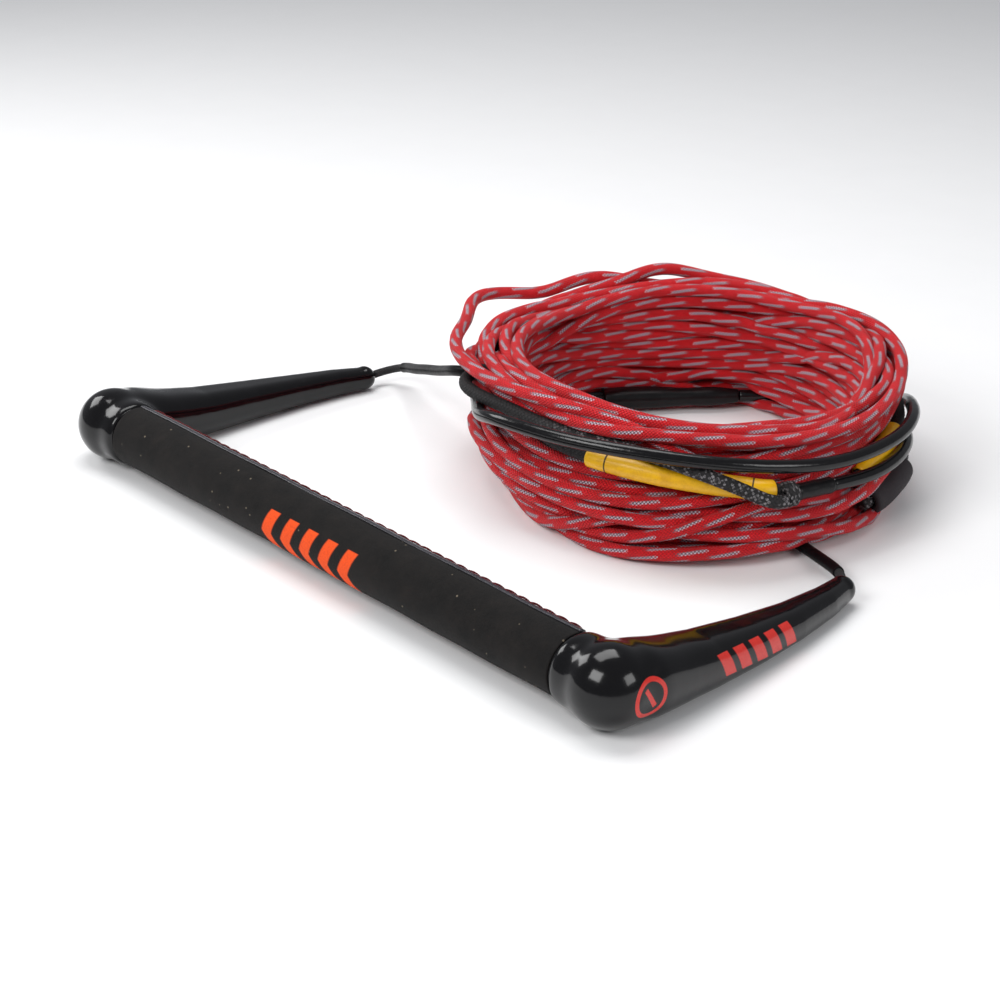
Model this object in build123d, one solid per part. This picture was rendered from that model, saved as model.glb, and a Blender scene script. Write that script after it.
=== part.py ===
from build123d import *
import math
import os

# Towed water sports handle with its bridle, leader and coiled main line, in millimetres.
# X runs along the handle bar, +Y from the bar towards the arm tips and the rope, +Z up.
# The origin is on the ground, under the middle of the handle's own box.

# Handle
HANDLE_LENGTH = 381.0        # over both elbows, a 15 inch handle
ELBOW_R = 17.8               # half height of the elbow
ARM_REACH = 151.0            # bar axis to arm tip
BAR_Y = -(ARM_REACH - ELBOW_R) / 2
BAR_Z = ELBOW_R
ELBOW_X = HANDLE_LENGTH / 2 - ELBOW_R

# Bar, from the inside out
TUBE_R = 9.5
TUBE_WALL = 1.6
TUBE_HALF = 163.0
FOAM_R = 13.2
GRIP_R = 14.2
GRIP_HALF = 152.8
PLUG_DEPTH = 14.0

# Lap seam and whip stitches along the back of the grip
SEAM_ANGLE = 18.0            # from straight up, towards +Y
SEAM_WIDTH_DEG = 13.0
SEAM_THICK = 0.9
STITCH_ANGLE = 36.0
STITCH_PITCH = 7.6
STITCH_R = 0.7
STITCH_LENGTH = 5.0
STITCH_COUNT = 39

# Arms: distance from the bar axis, width, height and inward lean; the underside stays near the ground
ARM_SECTIONS = (
    (0.0, 31.0, 31.0, 0.0),
    (14.0, 33.5, 31.0, -0.8),
    (30.0, 30.8, 26.0, -0.4),
    (50.0, 27.0, 21.4, 0.0),
    (78.0, 22.5, 17.7, 0.6),
    (105.0, 17.9, 14.8, 2.4),
    (130.0, 14.0, 12.9, 5.8),
    (144.8, 11.6, 11.6, 9.5),
)
ARM_ROUNDNESS = 0.42         # corner radius over the smaller side
ARM_GROUND_GAP = 0.8         # under the arm, beyond the elbow
TIP_R = 6.2
TIP_X = ELBOW_X - ARM_SECTIONS[-1][3]
TIP_Y = BAR_Y + ARM_REACH - TIP_R
TIP_Z = TIP_R + ARM_GROUND_GAP
COLLAR_R = 15.8
COLLAR_LENGTH = 9.0
NECK_R = 15.1

# Bridle rope, its sleeving and its stopper knots
BRIDLE_ROPE_R = 2.0
BRIDLE_TUBE_R = 2.6
BRIDLE_TUBE_BORE_R = 2.1
CHANNEL_R = 2.7
KNOT_R = 5.2
KNOT_OFFSET = 1.0            # outwards from the elbow's middle
KNOT_FLAT = 3.0              # the rope leaves the knot this far from its middle
KNOT_POCKET_R = 6.4

# Leader, loop ropes and the pieces on them
LEADER_R = 3.05
LOOP_R = 3.0
SLEEVE_R = 4.75
SLEEVE_BORE_R = 3.1
SHRINK_R = 3.75
SHRINK_LENGTH = 21.0
END_KNOT_R = 5.2
END_KNOT_LENGTH = 7.0
END_KNOT_LEGS = 3.6          # each leg of the end loop from the knot's middle
END_KNOT_SPREAD = 0.8        # the legs part by this much over the lead
END_KNOT_LEAD = 4.0
END_KNOT_TILT = 0.35         # the outer leg leaves lower than the inner one
ROPE_LEAD = 7.0              # straight rope next to a knot or sleeve
FLOAT_R = 7.0
JOIN_R = 6.5
JOIN_START = Vector(-60.0, 152.0, 7.2)
JOIN_END = Vector(-17.0, 206.0, 7.2)
BRIDLE_SPACING = 2.9         # each leg from the middle of the join sleeve

# Coil of main line: a ring standing on the ground
COIL_TURN = 48.76            # heading of the coil's zero direction, from +X
COIL_MID = Vector(19.0, 125.0, 0.0)
WAIST_R = 98.0               # where the leader wraps the coil
CARVE_GAP = 0.5              # between the coil and what lies in it

# Height, half widths and shifts of each outline of the coil, outside and inside
COIL_OUTSIDE = (
    (0.0, 83.0, 104.0, 7.0, 1.0),
    (4.0, 88.0, 106.5, 7.0, 1.0),
    (16.0, 97.0, 107.5, 4.5, 1.0),
    (27.0, 101.5, 105.0, 1.0, 1.5),
    (36.0, 98.0, 98.0, 1.0, 1.0),
    (47.0, 98.0, 98.0, 0.0, 1.0),
    (54.0, 102.5, 101.5, -1.5, 2.5),
    (61.0, 102.0, 100.0, -2.5, 3.5),
    (67.0, 94.0, 93.0, -3.0, 3.5),
)
COIL_INSIDE = (
    (-1.0, 70.0, 82.0, 3.0, 8.0),
    (24.0, 74.0, 83.0, 1.0, 6.0),
    (46.0, 77.0, 80.0, -1.0, 3.0),
    (68.0, 80.0, 79.0, -2.5, 4.0),
)


def coil_frame(across, along, z):
    """Point from its place across and along the coil, in the part's frame."""
    c, s = math.cos(math.radians(COIL_TURN)), math.sin(math.radians(COIL_TURN))
    return Vector(COIL_MID.X + c * across - s * along, COIL_MID.Y + s * across + c * along, z)


def on_coil(turn, outset, z):
    """Point at a turn about the coil, an outset from its waist and a height."""
    reach = WAIST_R + outset
    return coil_frame(reach * math.cos(math.radians(turn)), reach * math.sin(math.radians(turn)), z)


# Routes of the ropes. Those on the coil are (turn, outset, height).
LEADER_OVER_FRONT = (
    (28, 13, 15), (14, 11.5, 26), (2, 9, 36.5), (-9, 10, 43), (-20, 13.5, 45.5), (-31, 15, 45),
    (-43, 14, 44.5), (-56, 13.5, 45), (-69, 13.5, 48), (-82, 13.5, 51.7), (-95, 13.5, 54.8),
    (-108, 13.5, 57), (-121, 13.5, 57.5), (-134, 13.2, 57.5), (-143, 12.7, 56), (-150, 9.6, 51.8),
    (-157, 4.5, 48), (-165, 0, 45.2), (-174, -2, 43),
)
LEADER_BACK_START = 180
LEADER_BACK_STEP = 14
LEADER_BACK_POINTS = 11
LEADER_BACK_OUTSET = 5.0
LEADER_BACK_Z = (41.8, 38.3)
LEADER_TO_SHRINK = (
    (26, 4, 36.5), (14, 2.2, 33), (3, 2.2, 31), (-8, 6, 31), (-18, 10.8, 31.8), (-28, 12.5, 31.8),
    (-38, 12.3, 31.4), (-47, 11, 31.9), (-55.5, 9.5, 33),
)
END_LOOP = (
    (-79.5, 13.4, 39.5), (-85.5, 13, 45), (-92, 9.8, 48.4), (-99, 7, 50.6),
    (-107, 6, 53), (-116, 5.5, 54.5), (-126, 5, 55.8), (-136, 5, 57.8), (-145, 5.3, 59), (-153, 6.3, 58.4),
    (-160, 8, 57), (-167, 9.5, 57.2), (-173.5, 9.6, 58.8), (-176.2, 5.4, 61), (-176.2, -0.7, 62.3),
    (-173.5, -4.9, 61.2), (-167.5, -5.2, 58.3), (-159.5, -3.5, 54.8), (-151, -0.8, 52), (-142.5, 1.5, 51),
    (-134, 3, 49.6),
    (-128, 4.2, 48), (-121.5, 5, 46.5), (-114, 5, 45.8), (-105, 5, 44.5), (-96, 5, 42.4),
    (-87, 5, 39.8), (-79, 5.4, 37.6),
)
FRONT_SLEEVE_RUNS = (24, 30)
SIDE_LOOP = (
    (-36, 0.5, 9), (-30, 3.5, 10.5), (-22, 7, 14.5), (-12, 8.5, 18.5), (-1, 7, 18), (10, 5, 15), (21, 4, 12.5),
    (32, 3, 13.5), (41, 0.5, 21), (45, -2.8, 32), (41, -3, 42), (32, -1.5, 48.5), (21, 0, 51.5),
    (10, 1, 51.5), (0, 1, 48.5), (-10, 3.5, 43.7), (-18, 6, 40.3), (-26, 4.8, 36.5), (-35, 3.5, 29.5),
    (-43, 1, 24),
)
SIDE_FLOAT_RUNS = (0, 2)
SIDE_SLEEVE_RUNS = (16, 18)
LEFT_BRIDLE = (
    (-163.2, 84.85, 7.0), (-163.0, 92.0, 7.3), (-157.0, 97.0, 9.5), (-146.0, 94.5, 13.5),
    (-129.0, 85.5, 19.8), (-111.0, 77.5, 27.0), (-92.0, 69.0, 34.0), (-74.0, 60.5, 41.5),
    (-60.0, 53.5, 47.5), (-47.0, 54.5, 50.0), (-38.0, 66.0, 48.0), (-40.0, 84.0, 41.0),
    (-46.0, 101.0, 31.0), (-54.5, 115.0, 20.0), (-64.5, 126.0, 11.5), (-69.5, 137.0, 7.8),
)
RIGHT_BRIDLE = (
    (159.0, 83.4, 7.0), (154.5, 89.0, 6.2), (146.0, 94.3, 5.2), (134.0, 98.8, 4.2), (118.0, 104.0, 3.2),
    (98.0, 109.0, 2.9), (72.0, 112.0, 2.9), (40.0, 112.5, 2.9), (8.0, 111.0, 2.9), (-24.0, 112.0, 2.9),
    (-43.0, 116.5, 3.0), (-55.5, 125.5, 4.0), (-62.5, 135.5, 6.2),
)
LEFT_SLEEVED_RUNS = (2, 14)
RIGHT_SLEEVED_RUNS = (1, 12)


def route_path(name, points):
    """Straight runs joined by arcs as large as the runs allow."""
    runs = [b - a for a, b in zip(points, points[1:])]
    turns = [a.get_angle(b) for a, b in zip(runs, runs[1:])]
    radii = [
        0.45 * min(a.length, b.length) / math.tan(math.radians(turn) / 2)
        for a, b, turn in zip(runs, runs[1:], turns)
    ]
    path = FilletPolyline(*points, radius=radii)
    print(f"{name}: {path.length:.0f} mm, tightest radius {min(radii):.1f} mm, largest turn {max(turns):.0f}")
    return path


def tube(path, radius, bore=0.0):
    """Round section along a path, hollow when it has a bore."""
    ends = Plane(origin=path @ 0, z_dir=path % 0)
    solid = sweep(ends * Circle(radius), path=path)
    if bore:
        solid -= sweep(ends * Circle(bore), path=path)
    return solid


def rod(start, end, radius, bore=0.0):
    """Straight round bar or tube between two points."""
    ends = Plane(origin=start, z_dir=end - start)
    solid = extrude(ends * Circle(radius), amount=(end - start).length)
    if bore:
        solid -= extrude(ends * Circle(bore), amount=(end - start).length)
    return solid


def bar_rod(x_start, x_end, radius, bore=0.0):
    """Straight round bar or tube on the handle bar's axis."""
    return rod(Vector(x_start, BAR_Y, BAR_Z), Vector(x_end, BAR_Y, BAR_Z), radius, bore)


def bar_surface(x, angle, radius):
    """Point at a radius about the bar, at an angle from straight up towards +Y."""
    return Vector(x, BAR_Y + radius * math.sin(math.radians(angle)), BAR_Z + radius * math.cos(math.radians(angle)))


def grip_seam():
    """Folded edge of the grip cover, standing proud along the bar."""
    start = SEAM_ANGLE - SEAM_WIDTH_DEG / 2
    end = SEAM_ANGLE + SEAM_WIDTH_DEG / 2
    x = -GRIP_HALF
    inner = ThreePointArc(*(bar_surface(x, a, GRIP_R) for a in (start, SEAM_ANGLE, end)))
    outer = ThreePointArc(*(bar_surface(x, a, GRIP_R + SEAM_THICK) for a in (start, SEAM_ANGLE, end)))
    sides = (Line(inner @ 0, outer @ 0), Line(inner @ 1, outer @ 1))
    return extrude(make_face([inner, outer, *sides]), amount=2 * GRIP_HALF, dir=(1, 0, 0))


def grip_stitches():
    """Whip stitches that close the cover behind the seam."""
    along = Vector(0, math.cos(math.radians(STITCH_ANGLE)), -math.sin(math.radians(STITCH_ANGLE)))
    stitches = []
    for i in range(STITCH_COUNT):
        middle = bar_surface((i - (STITCH_COUNT - 1) / 2) * STITCH_PITCH, STITCH_ANGLE, GRIP_R + STITCH_R + 0.05)
        stitches.append(rod(middle - along * STITCH_LENGTH / 2, middle + along * STITCH_LENGTH / 2, STITCH_R))
    return Compound(children=stitches)


def arm_section(side, reach, width, height, lean):
    """Rounded outline across an arm at a distance from the bar axis; side is 1 on the right, -1 on the left."""
    z = BAR_Z if reach == 0.0 else ARM_GROUND_GAP + height / 2
    middle = Vector(side * (ELBOW_X - lean), BAR_Y + reach, z)
    outline = RectangleRounded(width, height, ARM_ROUNDNESS * min(width, height))
    return Plane(origin=middle, x_dir=(1, 0, 0), z_dir=(0, 1, 0)) * outline


def tail_line(side):
    """Middle of the stopper knot, middle of the arm's tip and the direction between them."""
    knot = Vector(side * (ELBOW_X + KNOT_OFFSET), BAR_Y, BAR_Z)
    tip = Vector(side * TIP_X, TIP_Y, TIP_Z)
    return knot, tip, (tip - knot).normalized()


def elbow(side):
    """Ball, neck and collar, turned about the bar's axis."""
    collar_x = GRIP_HALF + COLLAR_LENGTH
    neck_x = ELBOW_X - math.sqrt(ELBOW_R**2 - NECK_R**2)
    end_x = ELBOW_X + ELBOW_R
    collar = Polyline((GRIP_HALF, 0), (GRIP_HALF, COLLAR_R), (collar_x, COLLAR_R), (collar_x, NECK_R), (neck_x, NECK_R))
    ball = ThreePointArc((neck_x, NECK_R), (ELBOW_X, ELBOW_R), (end_x, 0))
    profile = make_face([collar, ball, Line((end_x, 0), (GRIP_HALF, 0))])
    profile = Plane(origin=(0, BAR_Y, BAR_Z), x_dir=(side, 0, 0), z_dir=(0, -side, 0)) * profile
    return revolve(profile, axis=Axis((0, BAR_Y, BAR_Z), (1, 0, 0)))


def tip_cap(tip):
    """Rounded end of an arm."""
    profile = make_face([Line((0, 0), (TIP_R, 0)), CenterArc((0, 0), TIP_R, 0, 90), Line((0, TIP_R), (0, 0))])
    profile = Plane(origin=tip, x_dir=(1, 0, 0), z_dir=(0, 0, 1)) * profile
    return revolve(profile, axis=Axis(tip, (0, 1, 0)))


def arm(side):
    """Moulded elbow and tapering arm, with the bar's socket and the rope's channel."""
    knot, tip, toward = tail_line(side)
    solid = loft([arm_section(side, *section) for section in ARM_SECTIONS], ruled=True)
    solid += elbow(side)
    solid += tip_cap(tip)
    solid -= bar_rod(side * GRIP_HALF, side * TUBE_HALF, TUBE_R)
    solid -= Pos(*knot) * Sphere(KNOT_POCKET_R)
    return solid - rod(knot, tip + toward * 2 * TIP_R, CHANNEL_R)


def stopper_knot(side):
    """Knot that holds the bridle rope in the elbow, flat where the rope leaves it."""
    knot, _, toward = tail_line(side)
    flat = Plane(origin=knot + toward * KNOT_FLAT, z_dir=toward)
    return split(Pos(*knot) * Sphere(KNOT_R), bisect_by=flat, keep=Keep.BOTTOM)


def rope_tail(side):
    """Rope from the stopper knot to just inside the arm's tip."""
    knot, tip, toward = tail_line(side)
    return rod(knot + toward * KNOT_FLAT, tip - toward, BRIDLE_ROPE_R)


def ring_outline(z, across, along, across_shift, along_shift):
    """Oval outline about the coil at a height."""
    return Plane(origin=coil_frame(across_shift, along_shift, z), x_dir=coil_direction()) * Ellipse(across, along)


def coil_direction():
    """Zero direction of the coil."""
    return Vector(math.cos(math.radians(COIL_TURN)), math.sin(math.radians(COIL_TURN)), 0)


def bridle_points(leg_points, side):
    """A leg's points, ending square to the join sleeve's near end."""
    axis = (JOIN_END - JOIN_START).normalized()
    end = JOIN_START + Vector(-axis.Y, axis.X, 0) * BRIDLE_SPACING * side
    return [Vector(*p) for p in leg_points] + [end - axis * ROPE_LEAD, end]


def end_loop_points(knot_end, away):
    """The end loop's points, both ends square to the knot."""
    outwards = ((knot_end - coil_frame(0, 0, knot_end.Z)).normalized() - Vector(0, 0, END_KNOT_TILT)).normalized()
    start = knot_end + outwards * END_KNOT_LEGS
    end = knot_end - outwards * END_KNOT_LEGS
    lead = away * END_KNOT_LEAD
    spread = outwards * END_KNOT_SPREAD
    middle = [on_coil(*p) for p in END_LOOP]
    return [start, start + lead + spread] + middle + [end + lead - spread, end]


def stretch(path, points, first_run, last_run):
    """The stretch of a path from the middle of one run to the middle of another."""
    start = path.param_at_point((points[first_run] + points[first_run + 1]) / 2)
    end = path.param_at_point((points[last_run] + points[last_run + 1]) / 2)
    return path.trim(start, end)


def leader_points():
    """From the join sleeve, out under the coil and twice about its waist."""
    axis = (JOIN_END - JOIN_START).normalized()
    points = [JOIN_END, JOIN_END + axis * 12, Vector(0.0, 226.0, 6.4), Vector(16.0, 236.5, 8.5)]
    points += [on_coil(*p) for p in LEADER_OVER_FRONT]
    for i in range(LEADER_BACK_POINTS):
        part = i / (LEADER_BACK_POINTS - 1)
        outset = -2.0 + (LEADER_BACK_OUTSET + 2.0) * min(1.0, 4 * part)
        z = LEADER_BACK_Z[0] + part * (LEADER_BACK_Z[1] - LEADER_BACK_Z[0])
        points.append(on_coil(LEADER_BACK_START - i * LEADER_BACK_STEP, outset, z))
    return points + [on_coil(*p) for p in LEADER_TO_SHRINK]


# Bar and arms
parts = {}
parts["core_tube"] = bar_rod(-TUBE_HALF, TUBE_HALF, TUBE_R, TUBE_R - TUBE_WALL)
parts["foam_core"] = bar_rod(-GRIP_HALF, GRIP_HALF, FOAM_R, TUBE_R)
parts["grip_cover"] = bar_rod(-GRIP_HALF, GRIP_HALF, GRIP_R, FOAM_R)
parts["grip_seam"] = grip_seam()
parts["grip_stitches"] = grip_stitches()
for name, side in (("left", -1), ("right", 1)):
    parts[name + "_arm"] = arm(side)
    parts[name + "_tube_plug"] = bar_rod(side * (TUBE_HALF - PLUG_DEPTH), side * TUBE_HALF, TUBE_R - TUBE_WALL)
    parts[name + "_stopper_knot"] = stopper_knot(side)
    parts[name + "_rope_tail"] = rope_tail(side)

# Bridle
left_points = bridle_points(LEFT_BRIDLE, 1)
right_points = bridle_points(RIGHT_BRIDLE, -1)
left_path = route_path("left bridle", left_points)
right_path = route_path("right bridle", right_points)
parts["left_bridle_rope"] = tube(left_path, BRIDLE_ROPE_R)
parts["right_bridle_rope"] = tube(right_path, BRIDLE_ROPE_R)
left_sleeved = stretch(left_path, left_points, *LEFT_SLEEVED_RUNS)
right_sleeved = stretch(right_path, right_points, *RIGHT_SLEEVED_RUNS)
parts["left_bridle_tube"] = tube(left_sleeved, BRIDLE_TUBE_R, BRIDLE_TUBE_BORE_R)
parts["right_bridle_tube"] = tube(right_sleeved, BRIDLE_TUBE_R, BRIDLE_TUBE_BORE_R)
parts["join_sleeve"] = rod(JOIN_START, JOIN_END, JOIN_R)

# Leader, its heat shrink and knot
leader_route = leader_points()
leader_path = route_path("leader", leader_route)
parts["leader"] = tube(leader_path, LEADER_R)
leader_end = leader_path @ 1
away = leader_path % 1
shrink_end = leader_end + away * SHRINK_LENGTH
knot_end = shrink_end + away * END_KNOT_LENGTH
parts["leader_shrink"] = rod(leader_end, shrink_end, SHRINK_R)
parts["end_knot"] = rod(shrink_end, knot_end, END_KNOT_R)

# Loops with their sleeves and float
end_loop_route = end_loop_points(knot_end, away)
end_loop_path = route_path("end loop", end_loop_route)
parts["end_loop"] = tube(end_loop_path, LOOP_R)
front_sleeve = stretch(end_loop_path, end_loop_route, *FRONT_SLEEVE_RUNS)
parts["front_sleeve"] = tube(front_sleeve, SLEEVE_R, SLEEVE_BORE_R)
side_loop_points = [on_coil(*p) for p in SIDE_LOOP]
side_loop_path = route_path("side loop", side_loop_points)
parts["side_loop"] = tube(side_loop_path, LOOP_R)
side_sleeve = stretch(side_loop_path, side_loop_points, *SIDE_SLEEVE_RUNS)
parts["side_sleeve"] = tube(side_sleeve, SLEEVE_R, SLEEVE_BORE_R)
float_path = stretch(side_loop_path, side_loop_points, *SIDE_FLOAT_RUNS)
parts["line_float"] = tube(float_path, FLOAT_R, SLEEVE_BORE_R)

# Coil of main line, carved where other pieces lie in it
coil = loft([ring_outline(*o) for o in COIL_OUTSIDE]) - loft([ring_outline(*o) for o in COIL_INSIDE])
carved = (
    (left_path, BRIDLE_TUBE_R), (right_path, BRIDLE_TUBE_R), (leader_path, LEADER_R),
    (end_loop_path, LOOP_R), (front_sleeve, SLEEVE_R), (side_loop_path, LOOP_R),
    (side_sleeve, SLEEVE_R), (float_path, FLOAT_R),
)
for path, radius in carved:
    coil -= tube(path, radius + CARVE_GAP)
coil -= rod(JOIN_START, JOIN_END, JOIN_R + CARVE_GAP)
coil -= rod(leader_end, shrink_end, SHRINK_R + CARVE_GAP)
coil -= rod(shrink_end, knot_end, END_KNOT_R + CARVE_GAP)
solids = sorted(coil.solids(), key=lambda s: s.volume)
parts["main_line_coil"] = solids[-1]
print("coil pieces", [round(s.volume) for s in solids])

os.makedirs("parts", exist_ok=True)
for name, piece in parts.items():
    export_step(piece, f"parts/{name}.step")
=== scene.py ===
import math

import bpy
import numpy as np
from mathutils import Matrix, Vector


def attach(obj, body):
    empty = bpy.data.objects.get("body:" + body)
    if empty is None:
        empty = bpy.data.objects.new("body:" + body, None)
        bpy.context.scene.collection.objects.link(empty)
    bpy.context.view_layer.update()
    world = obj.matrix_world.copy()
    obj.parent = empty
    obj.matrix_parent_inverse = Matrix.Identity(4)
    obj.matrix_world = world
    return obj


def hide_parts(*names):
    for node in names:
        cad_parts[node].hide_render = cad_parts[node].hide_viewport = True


# A tow rope handle with its bridle, wrapped leader and coiled main line, in metres.
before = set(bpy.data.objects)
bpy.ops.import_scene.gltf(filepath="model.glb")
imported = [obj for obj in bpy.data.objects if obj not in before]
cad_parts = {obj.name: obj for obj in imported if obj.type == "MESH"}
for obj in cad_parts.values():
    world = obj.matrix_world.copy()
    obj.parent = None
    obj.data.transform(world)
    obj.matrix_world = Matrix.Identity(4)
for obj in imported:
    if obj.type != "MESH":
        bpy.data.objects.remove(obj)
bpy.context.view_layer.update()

MM = 0.001

# Handle
BAR_Y = -0.0666
BAR_Z = 0.0178
ELBOW_X = 0.1727
ELBOW_MELT_BEFORE = 0.022    # how far before and after the bar's axis the elbow is melted
ELBOW_MELT_AFTER = 0.048
ELBOW_FADE_BEFORE = 0.006     # over this the melting fades out at each side
ELBOW_FADE_AFTER = 0.012
ELBOW_MELT_ROUNDS = 110
FOAM_R = 0.0132
GRIP_R = 0.0142
GRIP_HALF = 0.1528
SEAM_ANGLE = 18.0
SEAM_WIDTH_DEG = 15.0
SEAM_THICK = 0.0009
STITCH_ANGLE = 36.0
STITCH_PITCH = 0.0076
STITCH_R = 0.00042
STITCH_COUNT = 39
ARM_VOXEL = 0.0008

PORE_DEPTH = 0.0002

# Printed marks: slanted bars and a ring round a slash on the arms, chevrons on the grip
BARS_Y = -0.0195
BARS_Z = 0.014
BARS_DROP = 0.08
BARS_LEAN = 0.45
BARS_HALF = 0.0052
BARS_PITCH = 0.0099
BARS_COUNT = 5
BARS_FILL = (0.14, 0.78)     # the part of each pitch that is printed
RING_Y = -0.061
RING_Z = 0.017
RING_R = 0.0085
RING_BORE_R = RING_R * 0.78
SLASH_R = RING_R * 0.58
SLASH_BLUR = RING_R * 0.02
SLASH_HALF = 0.0012
SLASH_LEAN = 0.6
EDGE_BLUR = 0.00012
CHEVRON_TURN = 0.528
CHEVRON_HALF_TURN = 0.125
CHEVRON_LEAN = -0.04
CHEVRON_START = 0.118
CHEVRON_PITCH = 0.0136
CHEVRON_COUNT = 5
CHEVRON_FILL = (0.12, 0.62)

# Ropes, tubes and what is on them
BRIDLE_ROPE_R = 0.0020
BRIDLE_TUBE_R = 0.0026
BRIDLE_BORE_R = 0.00212
LEADER_R = 0.00305
LOOP_R = 0.0030
SLEEVE_R = 0.00475
TUBING_BORE_R = 0.0032
SHRINK_R = 0.00375
SHRINK_LENGTH = 0.021
END_KNOT_LENGTH = 0.007
END_KNOT_WRAPS = 2.2
END_KNOT_WRAP_R = 0.0034
END_KNOT_STRAND_R = 0.0024
END_KNOT_R = 0.0058
END_KNOT_LEGS = 0.0036
END_KNOT_SPREAD = 0.0008
END_KNOT_LEAD = 0.0065
END_KNOT_TILT = 0.35
ROPE_LEAD = 0.007
PART_STEP = 0.0006           # between the points of a stretch of a route
FLOAT_R = 0.0070
JOIN_R = 0.0065
JOIN_START = Vector((-0.060, 0.152, 0.0072))
JOIN_END = Vector((-0.017, 0.206, 0.0072))
BRIDLE_SPACING = 0.0029
TUBING_LINES_IN = (0.0098, 0.0092)    # how far the printed lines are from the yellow tubing's ends
TUBING_LINE_WIDTH = 0.0008
FLECKED_STRANDS = 8
FLECKED_CELL = 0.0021
# Pale flecks in the loop braid fade out along it
FLECKS_FADE = 0.085
FLECKS_END = 0.125

# Main line's braid: dashes lie in rows that twist about the rope, so many turns in a metre
MAIN_STRANDS = 12.0
MAIN_CELL = 0.0016
DASH_TWIST = 7.0
DASH_ROWS = 5.0
DASH_BEAT = 0.0215
DASH_WIDTH = (0.24, 0.62)    # the part of a row that a dash fills
DASH_LENGTH = (0.06, 0.64)   # and of a beat
DASH_STAGGER = 0.382         # of a beat, from one row to the next

# Coil of main line
MAIN_R = 0.0031
ROPE_GIRTH = 0.02
COIL_TURN = math.radians(48.76)
COIL_MID = Vector((0.019, 0.125, 0.0))
WAIST_R = 98.0
COIL_TURNS = 33.4
COIL_START_DEG = -43.0
COIL_STEP = 5.0              # between the rope's points, in millimetres
COIL_SEED = 11
MEAN_REACH = 91.0            # of the rope's turns about the coil's middle, in millimetres
DEPTH_RATE = 0.0215
RISE_RATE = 0.074
DEPTH_DRIFT = 0.26
RISE_DRIFT = 0.24
DRIFT_RATES = (0.31, 1.04, 1.95, 3.07, 5.03, 6.94)
END_DEPTH = 0.7              # the rope's ends lie hidden in the coil's wall, over this part of a turn
END_RISE = 0.37
END_PART = 0.2
SPREAD_FIRST = 0.12          # turns push this much further apart before they settle
OBSTACLE_STEP = 0.003
SETTLE_ROUNDS = 260
PAIR_ROUNDS = 8
SETTLE_STEP = 1.5
STIFFNESS = 0.06
LENGTH_FIX = 0.25
OUTLINE_FIX = 0.6
# Outer turns of the rim spring out at the left end
FAN_ANGLE = 160.0
FAN_HALF = 24.0
FAN_REACH = 14.0
FAN_FROM = 86.0
FAN_LOW = 34.0
FAN_FADE = 16.0
SPRUNG_LOW = 38.0
SPRUNG_FADE = 12.0
FAN_ROUNDS = 50
# Strands let out of the rim: where and over what half width in degrees, how far out and up in millimetres
STRAYS = ((141.0, 11.0, 13.0, 4.0), (112.0, 13.0, 1.5, 6.5), (92.0, 11.0, 1.0, 4.5))
STRAY_OUTER = 0.8            # how much an outer strand is preferred to a high one
STRAY_NEAR = 0.97
TOP_FRONT = 62.0
TOP_BACK = 69.0
# Where the rim is higher or lower: middle and half width in degrees, and change in millimetres
RIM_CHANGES = (
    (-132, 34, 4), (-38, 30, -7), (52, 16, -4.5), (127, 17, -7), (146, 8, 3),
)

# Height, half widths and shifts of each outline of the coil, outside and inside, in millimetres
COIL_OUTSIDE = np.array((
    (0, 88, 106, 9, -1),
    (4, 93, 109, 9, -1),
    (16, 100, 109, 6.5, 0),
    (27, 103, 105.5, 2.5, 1),
    (36, 99.5, 98, 1.5, 1),
    (47, 101, 98, 2, 1),
    (54, 105.5, 101.5, 2.5, 2.5),
    (61, 106, 101, 2.5, 3),
    (67, 99, 94, 2, 3),
))
COIL_INSIDE = np.array((
    (-1, 70, 82, 3, 8),
    (24, 75, 83, 2, 5),
    (46, 78, 81, 4.5, 0.5),
    (68, 81, 81, 7.5, -1),
))

# Routes on the coil are (turn in degrees, outset and height in millimetres). The others are in millimetres.
LEADER_LEAD = 0.012
LEADER_UNDER = (Vector((0.0, 0.226, 0.0064)), Vector((0.016, 0.2365, 0.0085)))
LEADER_OVER_FRONT = (
    (28, 13, 15), (14, 11.5, 26), (2, 9, 36.5), (-9, 10, 43), (-20, 13.5, 45.5), (-31, 15, 45),
    (-43, 14, 44.5), (-56, 13.5, 45), (-69, 13.5, 48), (-82, 13.5, 51.7), (-95, 13.5, 54.8),
    (-108, 13.5, 57), (-121, 13.5, 57.5), (-134, 13.2, 57.5), (-143, 12.7, 56), (-150, 9.6, 51.8),
    (-157, 4.5, 48), (-165, 0, 45.2), (-174, -2, 43),
)
LEADER_BACK_START = 180
LEADER_BACK_STEP = 14
LEADER_BACK_POINTS = 11
LEADER_BACK_OUTSETS = (-2.0, 5.0)
LEADER_BACK_Z = (41.8, 38.3)
LEADER_TO_SHRINK = (
    (26, 4, 36.5), (14, 2.2, 33), (3, 2.2, 31), (-8, 6, 31), (-18, 10.8, 31.8), (-28, 12.5, 31.8),
    (-38, 12.3, 31.4), (-47, 11, 31.9), (-55.5, 9.5, 33),
)
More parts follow.
